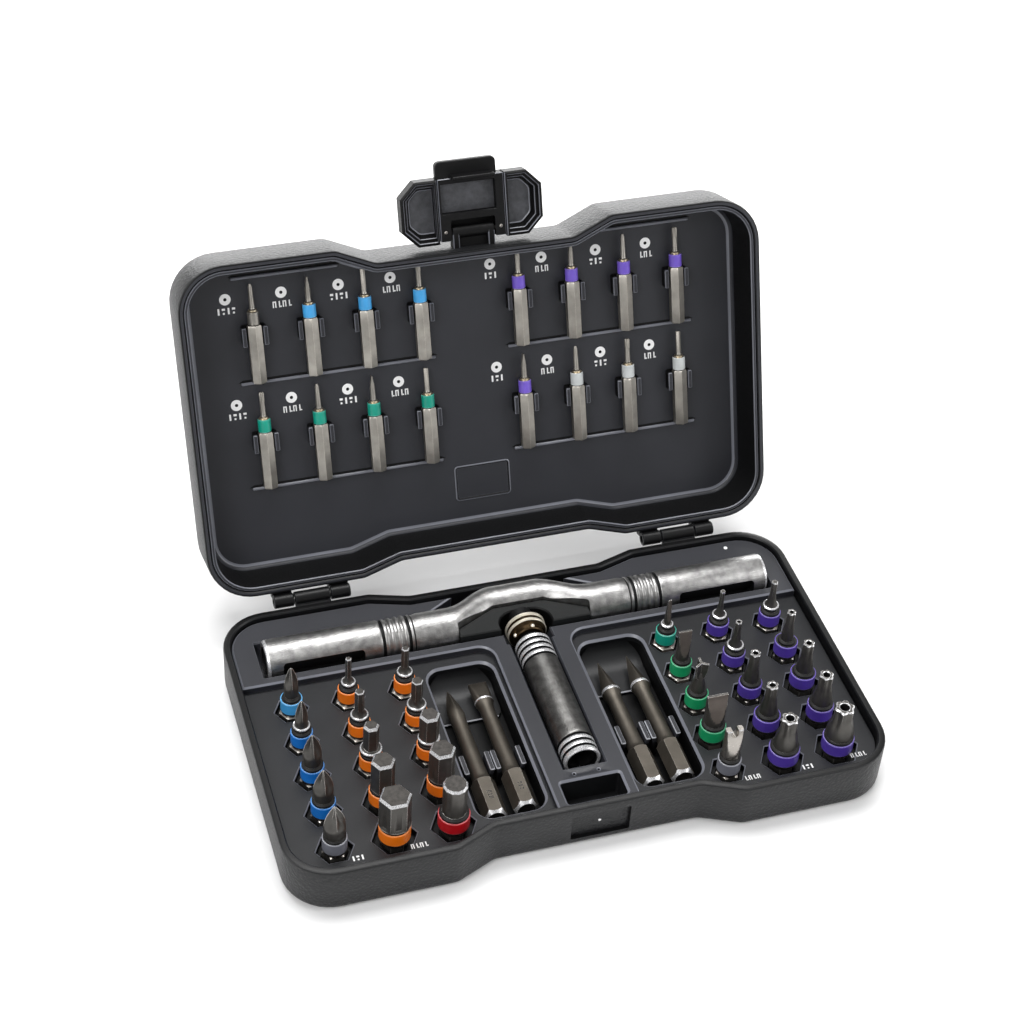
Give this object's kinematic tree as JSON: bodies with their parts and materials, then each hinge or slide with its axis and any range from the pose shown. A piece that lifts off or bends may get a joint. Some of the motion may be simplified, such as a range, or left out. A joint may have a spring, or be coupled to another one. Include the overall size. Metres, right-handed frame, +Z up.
{
  "type": "precision screwdriver set",
  "caption": "Flat hinged plastic case lying open, with a T-handle ratchet driver along the back, hexagon-shank bits standing on both sides, long bits in two pockets and slim bits in the lid.",
  "frame": {"origin": "centre of the flat face under the base", "axes": "+X along the case's long side, +Y towards the hinge, +Z up"},
  "size_m": [0.178, 0.1618, 0.1311],
  "materials": {
    "case_plastic": "fine-textured black moulded plastic",
    "tray_plastic": "dark grey moulded plastic, satin",
    "pin_steel": "plain steel pin",
    "precision_bit_steel": "pewter-coloured tool steel",
    "latch_plastic": "black moulded plastic",
    "latch_panel": "dark grey moulded plastic",
    "handle_aluminium": "sandblasted aluminium, mottled",
    "stem_aluminium": "darker anodised aluminium",
    "liner_plastic": "black plastic",
    "ratchet_steel": "plain steel",
    "collar_brass": "turned brass",
    "bit_steel": "dark phosphated tool steel with coloured rings",
    "long_bit_steel": "gunmetal brown tool steel with bright ends"
  },
  "bodies": {
    "base": {"base_shell": "case_plastic", "base_tray": "tray_plastic", "hinge_pin_left": "pin_steel", "hinge_pin_right": "pin_steel"},
    "lid": {"lid_shell": "case_plastic", "lid_tray": "tray_plastic", "lid_bits_left_1": "precision_bit_steel", "lid_bits_left_2": "precision_bit_steel", "lid_bits_right_1": "precision_bit_steel", "lid_bits_right_2": "precision_bit_steel"},
    "latch": {"latch_cover": "latch_plastic", "latch_hook_plate": "latch_panel", "latch_pin": "pin_steel"},
    "handle": {"handle_yoke": "handle_aluminium", "arm_left": "handle_aluminium", "arm_right": "handle_aluminium", "arm_cap_left": "handle_aluminium", "arm_cap_right": "handle_aluminium", "yoke_liner": "liner_plastic", "ratchet_core": "ratchet_steel"},
    "selector": {"selector_collar": "collar_brass"},
    "stem": {"stem_barrel": "stem_aluminium", "bit_socket": "ratchet_steel", "socket_magnet": "ratchet_steel"},
    "cross_bit_1": {"cross_bit_1": "bit_steel"},
    "cross_bit_2": {"cross_bit_2": "bit_steel"},
    "cross_bit_3": {"cross_bit_3": "bit_steel"},
    "cross_bit_4": {"cross_bit_4": "bit_steel"},
    "cross_bit_5": {"cross_bit_5": "bit_steel"},
    "hex_bit_1": {"hex_bit_1": "bit_steel"},
    "hex_bit_2": {"hex_bit_2": "bit_steel"},
    "hex_bit_3": {"hex_bit_3": "bit_steel"},
    "hex_bit_4": {"hex_bit_4": "bit_steel"},
    "hex_bit_5": {"hex_bit_5": "bit_steel"},
    "hex_bit_6": {"hex_bit_6": "bit_steel"},
    "hex_bit_7": {"hex_bit_7": "bit_steel"},
    "hex_bit_8": {"hex_bit_8": "bit_steel"},
    "hex_bit_9": {"hex_bit_9": "bit_steel"},
    "spline_bit_1": {"spline_bit_1": "bit_steel"},
    "slot_bit_1": {"slot_bit_1": "bit_steel"},
    "slot_bit_2": {"slot_bit_2": "bit_steel"},
    "fork_bit_1": {"fork_bit_1": "bit_steel"},
    "slot_bit_3": {"slot_bit_3": "bit_steel"},
    "prong_bit_1": {"prong_bit_1": "bit_steel"},
    "star_bit_1": {"star_bit_1": "bit_steel"},
    "star_bit_2": {"star_bit_2": "bit_steel"},
    "star_bit_3": {"star_bit_3": "bit_steel"},
    "star_bit_4": {"star_bit_4": "bit_steel"},
    "star_bit_5": {"star_bit_5": "bit_steel"},
    "star_bit_6": {"star_bit_6": "bit_steel"},
    "star_bit_7": {"star_bit_7": "bit_steel"},
    "star_bit_8": {"star_bit_8": "bit_steel"},
    "star_bit_9": {"star_bit_9": "bit_steel"},
    "star_bit_10": {"star_bit_10": "bit_steel"},
    "long_bit_awl": {"long_bit_awl": "long_bit_steel"},
    "long_bit_slot": {"long_bit_slot": "long_bit_steel"},
    "long_bit_cross_1": {"long_bit_cross_1": "long_bit_steel"},
    "long_bit_cross_2": {"long_bit_cross_2": "long_bit_steel"}
  },
  "joints": [
    {"name": "lid_hinge", "type": "hinge", "parent": "base", "child": "lid", "pos_m": [0, 0.05365, 0.0164], "axis": [-1, 0, 0], "range_deg": [-112, 0]},
    {"name": "latch_hinge", "type": "hinge", "parent": "lid", "child": "latch", "pos_m": [0.0006, 0.09825, 0.1105], "axis": [-1, 0, 0], "range_deg": [-90, 0]},
    {"name": "driver_lift", "type": "slide", "parent": "base", "child": "handle", "axis": [0, 0, 1], "range_m": [0, 0.03]},
    {"name": "stem_spin", "type": "hinge", "parent": "handle", "child": "stem", "pos_m": [0.0006, 0, 0.014], "axis": [0, 1, 0], "continuous": true},
    {"name": "selector_turn", "type": "hinge", "parent": "handle", "child": "selector", "pos_m": [0.0006, 0.025, 0.014], "axis": [0, 1, 0], "range_deg": [-15, 15]},
    {"name": "cross_bit_1_lift", "type": "slide", "parent": "base", "child": "cross_bit_1", "axis": [0, 0, 1], "range_m": [0, 0.022]},
    {"name": "cross_bit_2_lift", "type": "slide", "parent": "base", "child": "cross_bit_2", "axis": [0, 0, 1], "range_m": [0, 0.022]},
    {"name": "cross_bit_3_lift", "type": "slide", "parent": "base", "child": "cross_bit_3", "axis": [0, 0, 1], "range_m": [0, 0.022]},
    {"name": "cross_bit_4_lift", "type": "slide", "parent": "base", "child": "cross_bit_4", "axis": [0, 0, 1], "range_m": [0, 0.022]},
    {"name": "cross_bit_5_lift", "type": "slide", "parent": "base", "child": "cross_bit_5", "axis": [0, 0, 1], "range_m": [0, 0.022]},
    {"name": "hex_bit_1_lift", "type": "slide", "parent": "base", "child": "hex_bit_1", "axis": [0, 0, 1], "range_m": [0, 0.022]},
    {"name": "hex_bit_2_lift", "type": "slide", "parent": "base", "child": "hex_bit_2", "axis": [0, 0, 1], "range_m": [0, 0.022]},
    {"name": "hex_bit_3_lift", "type": "slide", "parent": "base", "child": "hex_bit_3", "axis": [0, 0, 1], "range_m": [0, 0.022]},
    {"name": "hex_bit_4_lift", "type": "slide", "parent": "base", "child": "hex_bit_4", "axis": [0, 0, 1], "range_m": [0, 0.022]},
    {"name": "hex_bit_5_lift", "type": "slide", "parent": "base", "child": "hex_bit_5", "axis": [0, 0, 1], "range_m": [0, 0.022]},
    {"name": "hex_bit_6_lift", "type": "slide", "parent": "base", "child": "hex_bit_6", "axis": [0, 0, 1], "range_m": [0, 0.022]},
    {"name": "hex_bit_7_lift", "type": "slide", "parent": "base", "child": "hex_bit_7", "axis": [0, 0, 1], "range_m": [0, 0.022]},
    {"name": "hex_bit_8_lift", "type": "slide", "parent": "base", "child": "hex_bit_8", "axis": [0, 0, 1], "range_m": [0, 0.022]},
    {"name": "hex_bit_9_lift", "type": "slide", "parent": "base", "child": "hex_bit_9", "axis": [0, 0, 1], "range_m": [0, 0.022]},
    {"name": "spline_bit_1_lift", "type": "slide", "parent": "base", "child": "spline_bit_1", "axis": [0, 0, 1], "range_m": [0, 0.022]},
    {"name": "slot_bit_1_lift", "type": "slide", "parent": "base", "child": "slot_bit_1", "axis": [0, 0, 1], "range_m": [0, 0.022]},
    {"name": "slot_bit_2_lift", "type": "slide", "parent": "base", "child": "slot_bit_2", "axis": [0, 0, 1], "range_m": [0, 0.022]},
    {"name": "fork_bit_1_lift", "type": "slide", "parent": "base", "child": "fork_bit_1", "axis": [0, 0, 1], "range_m": [0, 0.022]},
    {"name": "slot_bit_3_lift", "type": "slide", "parent": "base", "child": "slot_bit_3", "axis": [0, 0, 1], "range_m": [0, 0.022]},
    {"name": "prong_bit_1_lift", "type": "slide", "parent": "base", "child": "prong_bit_1", "axis": [0, 0, 1], "range_m": [0, 0.022]},
    {"name": "star_bit_1_lift", "type": "slide", "parent": "base", "child": "star_bit_1", "axis": [0, 0, 1], "range_m": [0, 0.022]},
    {"name": "star_bit_2_lift", "type": "slide", "parent": "base", "child": "star_bit_2", "axis": [0, 0, 1], "range_m": [0, 0.022]},
    {"name": "star_bit_3_lift", "type": "slide", "parent": "base", "child": "star_bit_3", "axis": [0, 0, 1], "range_m": [0, 0.022]},
    {"name": "star_bit_4_lift", "type": "slide", "parent": "base", "child": "star_bit_4", "axis": [0, 0, 1], "range_m": [0, 0.022]},
    {"name": "star_bit_5_lift", "type": "slide", "parent": "base", "child": "star_bit_5", "axis": [0, 0, 1], "range_m": [0, 0.022]},
    {"name": "star_bit_6_lift", "type": "slide", "parent": "base", "child": "star_bit_6", "axis": [0, 0, 1], "range_m": [0, 0.022]},
    {"name": "star_bit_7_lift", "type": "slide", "parent": "base", "child": "star_bit_7", "axis": [0, 0, 1], "range_m": [0, 0.022]},
    {"name": "star_bit_8_lift", "type": "slide", "parent": "base", "child": "star_bit_8", "axis": [0, 0, 1], "range_m": [0, 0.022]},
    {"name": "star_bit_9_lift", "type": "slide", "parent": "base", "child": "star_bit_9", "axis": [0, 0, 1], "range_m": [0, 0.022]},
    {"name": "star_bit_10_lift", "type": "slide", "parent": "base", "child": "star_bit_10", "axis": [0, 0, 1], "range_m": [0, 0.022]},
    {"name": "long_bit_awl_lift", "type": "slide", "parent": "base", "child": "long_bit_awl", "axis": [0, 0, 1], "range_m": [0, 0.02]},
    {"name": "long_bit_slot_lift", "type": "slide", "parent": "base", "child": "long_bit_slot", "axis": [0, 0, 1], "range_m": [0, 0.02]},
    {"name": "long_bit_cross_1_lift", "type": "slide", "parent": "base", "child": "long_bit_cross_1", "axis": [0, 0, 1], "range_m": [0, 0.02]},
    {"name": "long_bit_cross_2_lift", "type": "slide", "parent": "base", "child": "long_bit_cross_2", "axis": [0, 0, 1], "range_m": [0, 0.02]}
  ]
}
